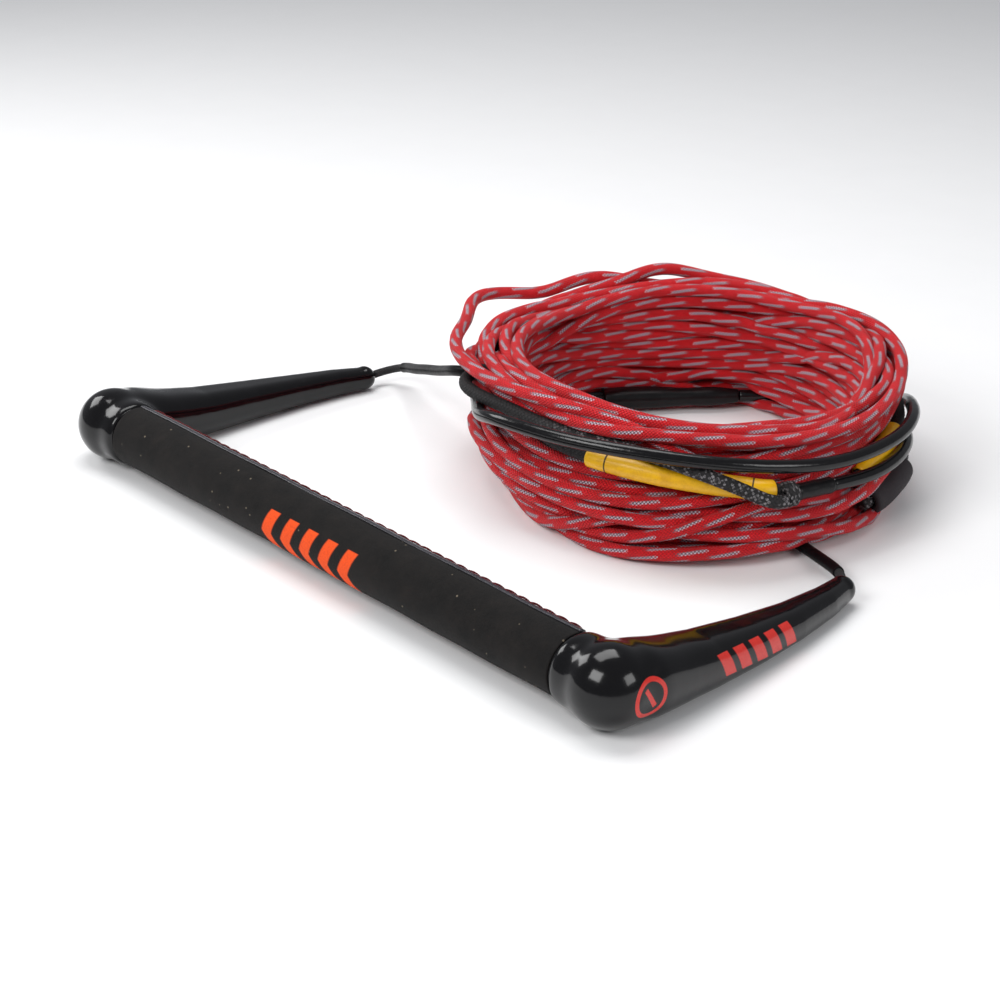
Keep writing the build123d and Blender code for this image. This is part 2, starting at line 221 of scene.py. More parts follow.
END_LOOP = (
    (-79.5, 13.4, 39.5), (-85.5, 13, 45), (-92, 9, 48.6), (-99, 3.5, 50.4),
    (-107, -0.5, 51.6), (-116, -2.5, 52), (-126, -3.2, 52.6), (-136, -3.3, 53.6), (-145, -3, 54),
    (-153, -1.6, 53.4), (-160, 1.2, 53), (-165.5, 3.8, 52.8), (-170.2, 4.4, 53), (-174, 1.9, 53.8),
    (-175.7, -4.2, 55), (-174.2, -10.3, 55.8), (-170.5, -12.9, 55.6), (-165.4, -12.5, 54.4),
    (-158.5, -10.6, 51.8), (-151, -8.6, 49.7), (-142.5, -6.6, 48.2), (-134, -5, 47.2),
    (-128, -3.4, 46.4), (-121.5, -1.6, 45.7), (-114, 0.8, 45.4), (-105, 3.3, 44.4), (-96, 5, 42.4),
    (-87, 5, 39.8), (-79, 5.4, 37.6),
)
SIDE_LOOP = (
    (-36, 0.5, 9), (-30, 3.5, 10.5), (-22, 7, 14.5), (-12, 8.5, 18.5), (-1, 7, 18), (10, 5, 15),
    (21, 4, 12.5), (32, 3, 13.5), (41, 0.5, 21), (45, -2.8, 32), (41, -3, 42), (32, -1.5, 48.5),
    (21, 0, 51.5), (10, 1, 51.5), (0, 1, 48.5), (-10, 3.5, 43.7), (-18, 6, 40.3), (-26, 4.8, 36.5),
    (-35, 3.5, 29.5), (-43, 1, 24),
)
LEFT_BRIDLE = (
    (-163.2, 84.85, 7), (-163, 92, 7.3), (-157, 97, 9.5), (-146, 94.5, 13.5),
    (-129, 85.5, 19.8), (-111, 77.5, 27), (-92, 69, 34), (-74, 60.5, 41.5),
    (-60, 53.5, 47.5), (-47, 54.5, 50), (-38, 66, 48), (-40, 84, 41),
    (-46, 101, 31), (-54.5, 115, 20), (-64.5, 126, 11.5), (-69.5, 137, 7.8),
)
RIGHT_BRIDLE = (
    (159, 83.4, 7), (154.5, 89, 6.2), (146, 94.3, 5.2), (134, 98.8, 4.2), (118, 104, 3.2),
    (98, 109, 2.9), (72, 112, 2.9), (40, 112.5, 2.9), (8, 111, 2.9), (-24, 112, 2.9),
    (-43, 116.5, 3), (-55.5, 125.5, 4), (-62.5, 135.5, 6.2),
)
# What is on each route, and where it starts and ends: 2.5 is halfway from point 2 to point 3
ON_ROUTES = {
    "front_sleeve": ("end_loop", 25.5, 31.5),
    "side_sleeve": ("side_loop", 16.5, 18.5),
    "float": ("side_loop", 0.5, 2.5),
    "left_tube": ("left_bridle", 2.5, 14.5),
    "right_tube": ("right_bridle", 1.5, 12.5),
}


# ---------------------------------------------------------------- places

def coil_frame(across, along, z):
    """Point from its place across and along the coil, in millimetres, in the part's frame."""
    c, s = math.cos(COIL_TURN), math.sin(COIL_TURN)
    return Vector((
        COIL_MID.x + (c * across - s * along) * MM, COIL_MID.y + (s * across + c * along) * MM, z * MM,
    ))


def on_coil(turn, outset, z):
    """Point at a turn about the coil, an outset from its waist and a height."""
    reach = WAIST_R + outset
    return coil_frame(reach * math.cos(math.radians(turn)), reach * math.sin(math.radians(turn)), z)


def to_coil(points):
    """Points of the part's frame as millimetres across, along and above the coil's middle."""
    c, s = math.cos(COIL_TURN), math.sin(COIL_TURN)
    x, y = points[:, 0] - COIL_MID.x, points[:, 1] - COIL_MID.y
    return np.stack([c * x + s * y, c * y - s * x, points[:, 2]], 1) / MM


def bridle_points(leg_points, side):
    """A leg's points, ending square to the join sleeve's near end."""
    axis = (JOIN_END - JOIN_START).normalized()
    end = JOIN_START + Vector((-axis.y, axis.x, 0)) * BRIDLE_SPACING * side
    return [Vector(p) * MM for p in leg_points] + [end - axis * ROPE_LEAD, end]


def leader_points():
    """From the join sleeve, out under the coil and twice about its waist."""
    axis = (JOIN_END - JOIN_START).normalized()
    points = [JOIN_END, JOIN_END + axis * LEADER_LEAD, *LEADER_UNDER]
    points += [on_coil(*p) for p in LEADER_OVER_FRONT]
    inner, outer = LEADER_BACK_OUTSETS
    for i in range(LEADER_BACK_POINTS):
        part = i / (LEADER_BACK_POINTS - 1)
        outset = inner + (outer - inner) * min(1.0, 4 * part)
        z = LEADER_BACK_Z[0] + part * (LEADER_BACK_Z[1] - LEADER_BACK_Z[0])
        points.append(on_coil(LEADER_BACK_START - i * LEADER_BACK_STEP, outset, z))
    return points + [on_coil(*p) for p in LEADER_TO_SHRINK]


def end_loop_points(knot_end, away):
    """The end loop's points, both ends square to the knot."""
    middle = coil_frame(0, 0, knot_end.z / MM)
    outwards = ((knot_end - middle).normalized() - Vector((0, 0, END_KNOT_TILT))).normalized()
    start = knot_end + outwards * END_KNOT_LEGS
    end = knot_end - outwards * END_KNOT_LEGS
    lead = away * END_KNOT_LEAD
    spread = outwards * END_KNOT_SPREAD
    return [start, start + lead + spread] + [on_coil(*p) for p in END_LOOP] + [end + lead - spread, end]


# ---------------------------------------------------------------- lines and meshes

def route_line(name, points, resolution=12):
    """The smooth line of a NURBS spline through a route, as an array of points."""
    data = bpy.data.curves.new(name + "_route", "CURVE")
    data.dimensions = "3D"
    data.resolution_u = resolution
    spline = data.splines.new("NURBS")
    spline.points.add(len(points) - 1)
    for point, place in zip(spline.points, points):
        point.co = (*place, 1.0)
    spline.order_u = 3
    spline.use_endpoint_u = True
    carrier = bpy.data.objects.new(name + "_route", data)
    mesh = bpy.data.meshes.new_from_object(carrier)
    line = np.array([v.co for v in mesh.vertices], float).reshape(-1, 3)
    bpy.data.meshes.remove(mesh)
    bpy.data.objects.remove(carrier)
    bpy.data.curves.remove(data)
    return line


def travelled(line):
    """Distance along a line at each of its points."""
    return np.concatenate([[0.0], np.cumsum(np.linalg.norm(np.diff(line, axis=0), axis=1))])


def length_of(line):
    return float(travelled(line)[-1])


def at(line, distances, values=None):
    """Points of a line, or values that it carries, at distances along it."""
    along = travelled(line)
    values = line if values is None else values
    return np.stack([np.interp(distances, along, values[:, k]) for k in range(3)], 1)


def evenly(line, count):
    """A line again, as evenly spaced points."""
    return at(line, np.linspace(0, length_of(line), count))


def straight(start, end, length, count):
    """Evenly spaced points from start, over a length towards end."""
    return at(np.array([start, end]), np.linspace(0, length, count))


def part_of(line, points, first, last):
    """The stretch of a line between two places on its route, given as fractional point numbers."""
    ends = []
    for place in (first, last):
        i = int(place)
        target = np.array(points[i].lerp(points[min(i + 1, len(points) - 1)], place - i))
        ends.append(travelled(line)[np.linalg.norm(line - target, axis=1).argmin()])
    count = max(2, int((ends[1] - ends[0]) / PART_STEP))
    return at(line, np.linspace(ends[0], ends[1], count))


def frames_of(line):
    """Tangent and two cross directions at each point, which don't twist along the line."""
    tangent = np.gradient(line, axis=0)
    tangent /= np.linalg.norm(tangent, axis=1)[:, None]
    first = np.cross(tangent[0], (0.0, 0.0, 1.0))
    if np.linalg.norm(first) < 0.1:
        first = np.cross(tangent[0], (1.0, 0.0, 0.0))
    normal = np.zeros_like(line)
    current = first / np.linalg.norm(first)
    for i, t in enumerate(tangent):
        current = current - t * (current @ t)
        current = current / np.linalg.norm(current)
        normal[i] = current
    return tangent, normal, np.cross(tangent, normal)


def mesh_object(name, vertices, faces, uvs=None):
    """A mesh object, with one UV pair for each face corner when they are given."""
    mesh = bpy.data.meshes.new(name)
    mesh.from_pydata([tuple(v) for v in vertices], [], faces)
    if uvs is not None:
        layer = mesh.uv_layers.new(name="along")
        layer.data.foreach_set("uv", np.asarray(uvs, np.float32).ravel())
    mesh.polygons.foreach_set("use_smooth", [True] * len(mesh.polygons))
    mesh.update()
    piece = bpy.data.objects.new(name, mesh)
    bpy.context.scene.collection.objects.link(piece)
    return piece


def swept(name, line, profile, sides, hollow=False, relief=None):
    """Turned profile of (distance, radius) rows that follows a line, with UVs of (part of a turn, metres)."""
    profile = np.asarray(profile, float)
    _, normal, across = frames_of(line)
    s = np.clip(profile[:, 0], 0, length_of(line))
    centre, n, b = (at(line, s, values) for values in (line, normal, across))
    angle = np.arange(sides) / sides * 2 * math.pi
    radius = np.repeat(profile[:, 1:2], sides, 1)
    if relief is not None:
        radius = radius + relief(angle[None, :], profile[:, 0:1], radius)
    ring = centre[:, None] + radius[..., None] * (
        n[:, None] * np.cos(angle)[None, :, None] + b[:, None] * np.sin(angle)[None, :, None]
    )
    vertices = ring.reshape(-1, 3)
    rows = len(profile)
    i, j = np.meshgrid(np.arange(rows if hollow else rows - 1), np.arange(sides), indexing="ij")
    i, j = i.ravel(), j.ravel()
    k, m = (i + 1) % rows, (j + 1) % sides
    faces = np.stack([i * sides + j, k * sides + j, k * sides + m, i * sides + m], 1)
    u0, u1 = j / sides, (j + 1) / sides
    v0, v1 = profile[i, 0], profile[k, 0]
    uvs = np.stack([np.stack(corner, 1) for corner in ((u0, v0), (u0, v1), (u1, v1), (u1, v0))], 1)
    faces = [tuple(f) for f in faces.tolist()]
    uvs = uvs.reshape(-1, 2)
    if not hollow:
        vertices = np.concatenate([vertices, centre[:1], centre[-1:]])
        caps, cap_uvs = [], []
        for row, pole in ((0, rows * sides), (rows - 1, rows * sides + 1)):
            for j in range(sides):
                a, c = row * sides + j, row * sides + (j + 1) % sides
                caps.append((pole, a, c) if row == 0 else (pole, c, a))
                cap_uvs += [(j / sides, profile[row, 0])] * 3
        faces += caps
        uvs = np.concatenate([uvs, cap_uvs])
    return mesh_object(name, vertices, faces, uvs)


def rounded_ends(length, radius, step, lip):
    """Profile of a solid cord or bar of one radius whose ends are rounded by a lip."""
    turn = np.linspace(0, math.pi / 2, 5)
    start = [(lip * (1 - math.sin(a)), radius - lip * (1 - math.cos(a))) for a in turn[::-1]]
    middle = [(s, radius) for s in np.linspace(lip, length - lip, max(2, int(length / step)))[1:-1]]
    return start + middle + [(length - s, r) for s, r in reversed(start)]


def tube_wall(length, radius, bore, step, lip):
    """Closed profile of a tube with rounded mouths, out along the outside and back along the bore."""
    outside = [(s, radius) for s in np.linspace(lip, length - lip, max(2, int(length / step)))]
    inside = [(s, bore) for s in np.linspace(length - lip, lip, max(2, int(length / step / 4)))]
    middle, half = (radius + bore) / 2, (radius - bore) / 2
    turn = np.linspace(math.pi / 2, -math.pi / 2, 6)[1:-1]
    end = [(length - lip + lip * math.cos(a), middle + half * math.sin(a)) for a in turn]
    start = [(lip - lip * math.cos(a), middle + half * math.sin(a)) for a in turn[::-1]]
    return outside + end + inside + start


# ---------------------------------------------------------------- coil of main line

def fold(x):
    """Triangle wave between 0 and 1."""
    return np.abs((x % 2.0) - 1.0)


def outline(table, z):
    """Half widths and shifts of a coil outline at each height."""
    return [np.interp(z, table[:, 0], table[:, k]) for k in (1, 2, 3, 4)]


def bump(angle, middle, half):
    """Smooth rise about an angle, all in degrees."""
    off = (angle - middle + 180) % 360 - 180
    return np.exp(-(off / half) ** 2)


def top_height(angle):
    """Height of the coil's uneven rim about the coil, in millimetres, at an angle in radians."""
    top = TOP_FRONT + (TOP_BACK - TOP_FRONT) * (0.5 + 0.5 * np.sin(angle))
    for middle, half, change in RIM_CHANGES:
        top = top + change * bump(np.degrees(angle), middle, half)
    return top


def wander(turns, rng, amount):
    """Uneven drift along the rope, much the same from one turn to the next."""
    total = np.zeros_like(turns)
    for rate in DRIFT_RATES:
        phase = 2 * math.pi * (rate * turns + rng.uniform())
        total += np.sin(phase) * rng.uniform(0.6, 1.0) / (1 + 0.15 * rate)
    return amount * total / 2


def fan(angle, z):
    """How far the rim may spread past the coil's outline at its left end, in millimetres."""
    height = np.clip((z - FAN_LOW) / FAN_FADE, 0, 1)
    return FAN_REACH * bump(np.degrees(angle), FAN_ANGLE, 1.5 * FAN_HALF) * height


def loosened(points):
    """The rope once the outer turns of its rim have sprung out at the coil's left end."""
    rng = np.random.default_rng(COIL_SEED + 1)
    per_turn = 2 * math.pi * MEAN_REACH / COIL_STEP
    turn = (np.arange(len(points)) / per_turn + 0.1).astype(int)
    size = int(turn[-1]) + 1
    middle = FAN_ANGLE + rng.uniform(-16, 14, size)
    half = FAN_HALF * rng.uniform(0.6, 1.2, size)
    reach = FAN_REACH * rng.uniform(0.55, 1.0, size)
    lift = rng.uniform(-2.0, 3.0, size)
    angle = np.degrees(np.arctan2(points[:, 1], points[:, 0]))
    out = np.hypot(points[:, 0], points[:, 1])
    outer = 0.45 + 0.55 * np.clip((out - FAN_FROM) / SPRUNG_FADE, 0, 1)
    upper = np.clip((points[:, 2] - SPRUNG_LOW) / SPRUNG_FADE, 0, 1)
    rise = bump(angle, middle[turn], half[turn]) * (outer * upper)
    points[:, :2] *= (1 + reach[turn] * rise / out)[:, None]
    points[:, 2] += lift[turn] * rise
    return points


def wound(radius):
    """The rope as it is wound by hand, before its turns have settled, in millimetres."""
    rng = np.random.default_rng(COIL_SEED)
    per_turn = int(round(2 * math.pi * MEAN_REACH / COIL_STEP))
    turns = np.arange(int(COIL_TURNS * per_turn) + 1) / per_turn
    depth = fold(2 * DEPTH_RATE * turns + wander(turns, rng, DEPTH_DRIFT))
    rise = fold(2 * RISE_RATE * turns + wander(turns, rng, RISE_DRIFT))
    ends = np.minimum(turns, turns[-1] - turns)
    hidden = np.clip(1 - ends / END_PART, 0, 1) ** 2
    depth += (END_DEPTH - depth) * hidden
    rise += (END_RISE - rise) * hidden
    angle = math.radians(COIL_START_DEG) - 2 * math.pi * turns
    z = radius + rise * (top_height(angle) - 2 * radius)
    places = []
    for table, side in ((COIL_OUTSIDE, -1), (COIL_INSIDE, 1)):
        across, along, shift_x, shift_y = outline(table, z)
        spread = fan(angle, z) if side < 0 else 0.0
        places.append((
            shift_x + (across + side * radius + spread) * np.cos(angle),
            shift_y + (along + side * radius + spread) * np.sin(angle),
        ))
    (out_x, out_y), (in_x, in_y) = places
    return np.stack([in_x + (out_x - in_x) * depth, in_y + (out_y - in_y) * depth, z], 1)


def sprung(points):
    """The settled rope, with the rim's outermost strand let out at a few places."""
    angle = np.degrees(np.arctan2(points[:, 1], points[:, 0]))
    half_turn = int(math.pi * MEAN_REACH / COIL_STEP)
    for middle, half, outwards, upwards in STRAYS:
        out = np.hypot(points[:, 0], points[:, 1])
        near = bump(angle, middle, half) > STRAY_NEAR
        best = np.where(near, points[:, 2] + STRAY_OUTER * out, -np.inf).argmax()
        strand = np.abs(np.arange(len(points)) - best) < half_turn
        rise = np.where(strand, bump(angle, middle, half), 0.0)
        points[:, :2] *= (1 + outwards * rise / out)[:, None]
        points[:, 2] += upwards * rise
    return points


def near_pairs(points, reach, skip):
    """Pairs of rope points that lie near each other and aren't neighbours along the rope."""
    p = points.astype(np.float32)
    size = (p * p).sum(1)
    firsts, seconds = [], []
    for s in range(0, len(p), 512):
        e = min(len(p), s + 512)
        apart = size[s:e, None] + size[None, s:] - 2 * p[s:e] @ p[s:].T
        i, j = np.nonzero(apart < reach * reach)
        keep = (j - i) > skip
        firsts.append(i[keep] + s)
        seconds.append(j[keep] + s)
    return np.concatenate(firsts), np.concatenate(seconds)


def near_obstacles(points, places, sizes, reach):
    """Pairs of a rope point and an obstacle's point whose surfaces are within reach."""
    gap = np.linalg.norm(points[:, None] - places[None], axis=2) - sizes[None]
    return np.nonzero(gap < reach)


def pressed(points, others, reach):
    """Directions from other points to points, and how far the points are within reach of them."""
    away = points - others
    apart = np.linalg.norm(away, axis=1) + 1e-9
    return away / apart[:, None], np.clip(reach - apart, 0, None)


def averaged(count, index, push, touching):
    """Mean push on each of count points."""
    total = np.stack([np.bincount(index, push[:, k], count) for k in range(3)], 1)
    return total / np.maximum(np.bincount(index, touching, count), 1)[:, None]


def kept_in(points, radius):
    """Points pushed back into the coil's outline and above the ground."""
    angle = np.arctan2(points[:, 1], points[:, 0])
    top = top_height(angle) - radius
    z = np.where(points[:, 2] > top, (points[:, 2] + top) / 2, points[:, 2])
    z = np.maximum(z, radius)
    for table, side in ((COIL_OUTSIDE, 1), (COIL_INSIDE, -1)):
        across, along, shift_x, shift_y = outline(table, z)
        x, y = points[:, 0] - shift_x, points[:, 1] - shift_y
        spread = fan(angle, z) if side > 0 else 0.0
        wide, long = across - side * radius + spread, along - side * radius + spread
        reach = np.sqrt((x / wide) ** 2 + (y / long) ** 2)
        past = reach > 1 if side > 0 else reach < 1
        k = np.where(past, 1 + (1 / reach - 1) * OUTLINE_FIX, 1.0)
        points[:, 0], points[:, 1] = shift_x + x * k, shift_y + y * k
    points[:, 2] = z
    return points


def settled(points, places, sizes, radius, rounds):
    """The wound rope once its turns push each other and the other pieces aside."""
    count = len(points)
    skip = int(math.ceil(4.4 * radius / COIL_STEP))
    for r in range(rounds):
        thick = 2 * radius * (1.0 + SPREAD_FIRST * max(0.0, 1 - 1.4 * r / rounds))
        if r % PAIR_ROUNDS == 0:
            i, j = near_pairs(points, thick * 1.5, skip)
            rope, other = near_obstacles(points, places, sizes, radius * 2.2)
        # turns against each other
        away, depth = pressed(points[i], points[j], thick)
        push = away * depth[:, None] * 0.5
        touching = (depth > 0).astype(float)
        points += SETTLE_STEP * averaged(
            count, np.concatenate([i, j]), np.concatenate([push, -push]), np.concatenate([touching, touching])
        )
        # the rope's stiffness
        for reach in (1, 1, 4):
            bend, spring = np.zeros_like(points), np.zeros_like(points)
            bend[reach:-reach] = points[:-2 * reach] + points[2 * reach:] - 2 * points[reach:-reach]
            inner = slice(2 * reach, -2 * reach)
            spring[inner] = bend[reach:-3 * reach] + bend[3 * reach:-reach] - 2 * bend[inner]
            points -= STIFFNESS * spring
        # its length
        run = np.diff(points, axis=0)
        long = np.linalg.norm(run, axis=1)
        fix = run / long[:, None] * ((long - long.mean()) * LENGTH_FIX)[:, None]
        points[:-1] += fix
        points[1:] -= fix
        # the leader, loops and sleeves
        away, depth = pressed(points[rope], places[other], sizes[other] + radius)
        points += averaged(count, rope, away * depth[:, None], (depth > 0).astype(float))
        points = kept_in(points, radius)
    return points


# ---------------------------------------------------------------- materials

class Paint:
    """A node material, with short calls for its nodes."""

    def __init__(self, name, **settings):
        self.material = bpy.data.materials.new(name)
        self.material.use_nodes = True
        self.tree = self.material.node_tree
        self.shader = self.tree.nodes["Principled BSDF"]
        for socket, value in settings.items():
            self.shader.inputs[socket.replace("_", " ")].default_value = value
        self.material.diffuse_color = self.shader.inputs["Base Color"].default_value

    def node(self, kind, **settings):
        made = self.tree.nodes.new("ShaderNode" + kind)
        for key, value in settings.items():
            setattr(made, key, value)
        return made

    def put(self, socket, value):
        if isinstance(value, bpy.types.NodeSocket):
            self.tree.links.new(value, socket)
        else:
            socket.default_value = value

    def math(self, operation, a, b=0.0):
        made = self.node("Math", operation=operation)
        self.put(made.inputs[0], a)
        self.put(made.inputs[1], b)
        return made.outputs[0]

    def times(self, a, b):
        return self.math("MULTIPLY", a, b)

    def plus(self, a, b):
        return self.math("ADD", a, b)

    def minus(self, a, b):
        return self.math("SUBTRACT", a, b)

    def over(self, a, b):
        return self.math("DIVIDE", a, b)

    def split(self, vector):
        made = self.node("SeparateXYZ")
        self.put(made.inputs[0], vector)
        return made.outputs[0], made.outputs[1], made.outputs[2]

    def along(self):
        """Part of a turn round the piece, and metres along it."""
        return self.split(self.node("UVMap", uv_map="along").outputs[0])[:2]

    def place(self):
        """The point on the piece, in metres."""
        return self.node("TexCoord").outputs["Object"]

    def fibres(self, u, v, scale, detail=3.0, roughness=0.6):
        """Noise over a rope's surface."""
        return self.noise(self.joined(self.times(u, ROPE_GIRTH), v), scale, detail, roughness)

    def joined(self, x, y, z=0.0):
        made = self.node("CombineXYZ")
        for socket, value in zip(made.inputs, (x, y, z)):
            self.put(socket, value)
        return made.outputs[0]

    def noise(self, where, scale, detail=3.0, roughness=0.6):
        made = self.node("TexNoise")
        self.put(made.inputs["Vector"], where)
        for socket, value in (("Scale", scale), ("Detail", detail), ("Roughness", roughness)):
            made.inputs[socket].default_value = value
        return made.outputs["Fac"]

    def ranged(self, value, low, high, new_low=0.0, new_high=1.0):
        made = self.node("MapRange")
        for socket, number in zip(made.inputs[1:5], (low, high, new_low, new_high)):
            socket.default_value = number
        self.put(made.inputs[0], value)
        return made.outputs[0]

    def mix(self, factor, a, b):
        made = self.node("Mix", data_type="RGBA")
        self.put(made.inputs[0], factor)
        self.put(made.inputs[6], a)
        self.put(made.inputs[7], b)
        return made.outputs[2]

    def colour(self, value):
        self.put(self.shader.inputs["Base Color"], value)

    def roughness(self, value):
        self.put(self.shader.inputs["Roughness"], value)

    def bump(self, height, depth, strength=1.0):
        made = self.node("Bump")
        made.inputs["Strength"].default_value = strength
        made.inputs["Distance"].default_value = depth
        self.put(made.inputs["Height"], height)
        self.put(self.shader.inputs["Normal"], made.outputs[0])

    def band(self, value, low, high, soft):
        """1 between two values, with soft edges."""
        up = self.ranged(value, low - soft, low + soft)
        down = self.ranged(value, high - soft, high + soft, 1.0, 0.0)
        return self.times(up, down)

    def fract(self, value):
        return self.math("FRACT", value)

    def stripes(self, reach, pitch, count, fill, soft):
        """1 on a count of stripes, which fill the same part of each pitch."""
        stripe = self.band(self.fract(self.over(reach, pitch)), *fill, 0.03)
        return self.times(stripe, self.band(reach, 0.0, pitch * count, soft))

    def chance(self, first, second):
        """A random value for each pair of whole numbers."""
        made = self.node("TexWhiteNoise", noise_dimensions="2D")
        self.put(made.inputs["Vector"], self.joined(first, second))
        return made.outputs["Value"]

    def braid(self, u, v, strands, cell):
        """Height of a braid's crossing strands, and each crossing's own pair of whole numbers."""
        turned, passed = self.times(u, strands), self.over(v, cell)
        a, b = self.plus(turned, passed), self.minus(turned, passed)
        waves = [self.math("ABSOLUTE", self.math("SINE", self.times(x, math.pi))) for x in (a, b)]
        height = self.math("POWER", self.times(*waves), 0.5)
        return height, self.math("FLOOR", a), self.math("FLOOR", b)


def rgb(r, g, b):
    """Linear colour from display values of 0 to 255."""
    return tuple(
        (c / 255 / 12.92 if c / 255 <= 0.04045 else ((c / 255 + 0.055) / 1.055) ** 2.4) for c in (r, g, b)
    ) + (1.0,)


def main_line_paint():
    """Red braid with rows of pale dashes from its marker yarns, and painted shade in the gaps between its
    strands.
    """
    p = Paint(
        "main_line_braid", Roughness=0.6, Sheen_Weight=0.06, Sheen_Roughness=0.4, Specular_IOR_Level=0.35,
    )
    u, v = p.along()
    height, first, second = p.braid(u, v, MAIN_STRANDS, MAIN_CELL)
    turned = p.plus(u, p.times(v, DASH_TWIST))
    row = p.times(turned, DASH_ROWS)
    inside_row = p.fract(row)
    stagger = p.times(p.math("FLOOR", row), DASH_STAGGER)
    beat = p.fract(p.plus(p.over(v, DASH_BEAT), stagger))
    zigzag = p.times(p.minus(height, 0.5), 0.2)
    across = p.band(p.plus(inside_row, zigzag), *DASH_WIDTH, 0.06)
    dash = p.times(across, p.band(p.plus(beat, zigzag), *DASH_LENGTH, 0.03))
    red = p.mix(p.chance(first, second), rgb(220, 14, 26), rgb(236, 24, 38))
    worn = p.fibres(u, v, 60.0)
    red = p.mix(p.ranged(worn, 0.35, 0.75), red, rgb(206, 10, 22))
    # Dash yarn is darker in the gaps between strands and lighter on their crests: painted shade from the
    # braid's relief.
    grey = p.mix(p.ranged(height, 0.35, 0.8), rgb(118, 80, 90), rgb(204, 192, 204))
    # Painted shade: the braid darkens to deep red in the gaps between its strands, where its relief would
    # shade it.
    painted_gap_shade = p.mix(p.ranged(height, 0.0, 0.45, 0.7, 0.0), p.mix(dash, red, grey), rgb(84, 2, 10))
    p.colour(painted_gap_shade)
    fuzz = p.fibres(u, v, 2500.0)
    p.bump(p.plus(height, p.times(fuzz, 0.35)), 0.0006)
    return p.material


def flecked_paint():
    """Black braid with pale flecks, and painted shade in the gaps between its strands."""
    p = Paint("flecked_braid", Roughness=0.75)
    u, v = p.along()
    height, first, second = p.braid(u, v, FLECKED_STRANDS, FLECKED_CELL)
    torn = p.fibres(u, v, 520.0, 4.0, 0.7)
    pale = p.times(p.ranged(p.chance(first, second), 0.45, 0.6), p.ranged(height, 0.3, 0.75))
    pale = p.times(pale, p.ranged(torn, 0.42, 0.56))
    pale = p.times(pale, p.ranged(v, FLECKS_FADE, FLECKS_END, 0.85, 0.0))
    fuzz = p.fibres(u, v, 1600.0, 5.0, 0.75)
    black = p.mix(p.ranged(fuzz, 0.3, 0.75), rgb(10, 9, 10), rgb(46, 44, 46))
    # Painted shade: near black in the gaps between strands, where the braid's relief would shade it.
    black = p.mix(p.ranged(height, 0.1, 0.6, 0.7, 0.0), black, rgb(5, 5, 5))
    p.colour(p.mix(pale, black, p.mix(fuzz, rgb(112, 108, 110), rgb(176, 172, 174))))
    p.bump(p.plus(height, p.times(fuzz, 0.5)), 0.0004)
    return p.material


def black_rope_paint():
    """Matt black braid of the bridle rope, with painted shade in the gaps between its strands."""
    p = Paint("bridle_rope_braid", Roughness=0.75)
    u, v = p.along()
    height, _, _ = p.braid(u, v, 6.0, 0.0016)
    # Painted shade: darker in the gaps between strands, lighter on their crests, following the braid's
    # height.
    p.colour(p.mix(height, rgb(8, 8, 9), rgb(38, 37, 39)))
    p.bump(height, 0.0003)
    return p.material


def sleeving_paint(name, low, high, depth, shine):
    """Smooth black coating with faint ripples and scuffs."""
    p = Paint(name, Specular_IOR_Level=shine)
    place = p.place()
    scuffs = p.noise(place, 420.0, 6.0, 0.7)
    p.colour(p.mix(scuffs, rgb(4, 4, 5), rgb(18, 17, 19)))
    p.roughness(p.ranged(scuffs, 0.3, 0.8, low, high))
    p.bump(p.noise(place, 240.0, 2.0), depth)
    return p.material


def arm_paint():
    """Glossy moulded black with a plain ring and slanted bars printed on its outer face."""
    p = Paint("arm_gloss", Coat_Weight=0.2, Coat_Roughness=0.04, Specular_IOR_Level=0.28)
    place = p.place()
    x, y, z = p.split(place)
    haze = p.noise(place, 90.0, 5.0, 0.65)
    fine = p.noise(place, 900.0, 4.0, 0.7)
    black = p.mix(haze, rgb(3, 3, 4), rgb(12, 11, 13))
    # slanted bars along the arm
    lean = p.times(p.minus(z, BARS_Z), BARS_LEAN)
    reach = p.minus(p.plus(y, lean), BARS_Y)
    bars = p.stripes(reach, BARS_PITCH, BARS_COUNT, BARS_FILL, 0.0001)
    level = p.plus(z, p.times(reach, BARS_DROP))
    tall = p.band(level, BARS_Z - BARS_HALF, BARS_Z + BARS_HALF, 0.0001)
    bars = p.times(bars, tall)
    # ring round a slash on the elbow
    dy = p.minus(y, RING_Y)
    dz = p.minus(z, RING_Z)
    radius = p.math("SQRT", p.plus(p.times(dy, dy), p.times(dz, dz)))
    ring = p.band(radius, RING_BORE_R, RING_R, EDGE_BLUR)
    slash = p.band(p.plus(dy, p.times(dz, SLASH_LEAN)), -SLASH_HALF, SLASH_HALF, EDGE_BLUR)
    slash = p.times(slash, p.ranged(radius, SLASH_R - SLASH_BLUR, SLASH_R + SLASH_BLUR, 1.0, 0.0))
    marks = p.math("MAXIMUM", bars, p.math("MAXIMUM", ring, slash))
    marks = p.times(marks, p.math("GREATER_THAN", x, ELBOW_X))
    p.colour(p.mix(marks, black, p.mix(fine, rgb(196, 40, 36), rgb(222, 62, 52))))
    p.roughness(p.ranged(p.plus(haze, p.times(fine, 0.4)), 0.4, 1.1, 0.07, 0.24))
    p.bump(p.plus(haze, p.times(fine, 0.06)), 0.00012, 0.6)
    return p.material


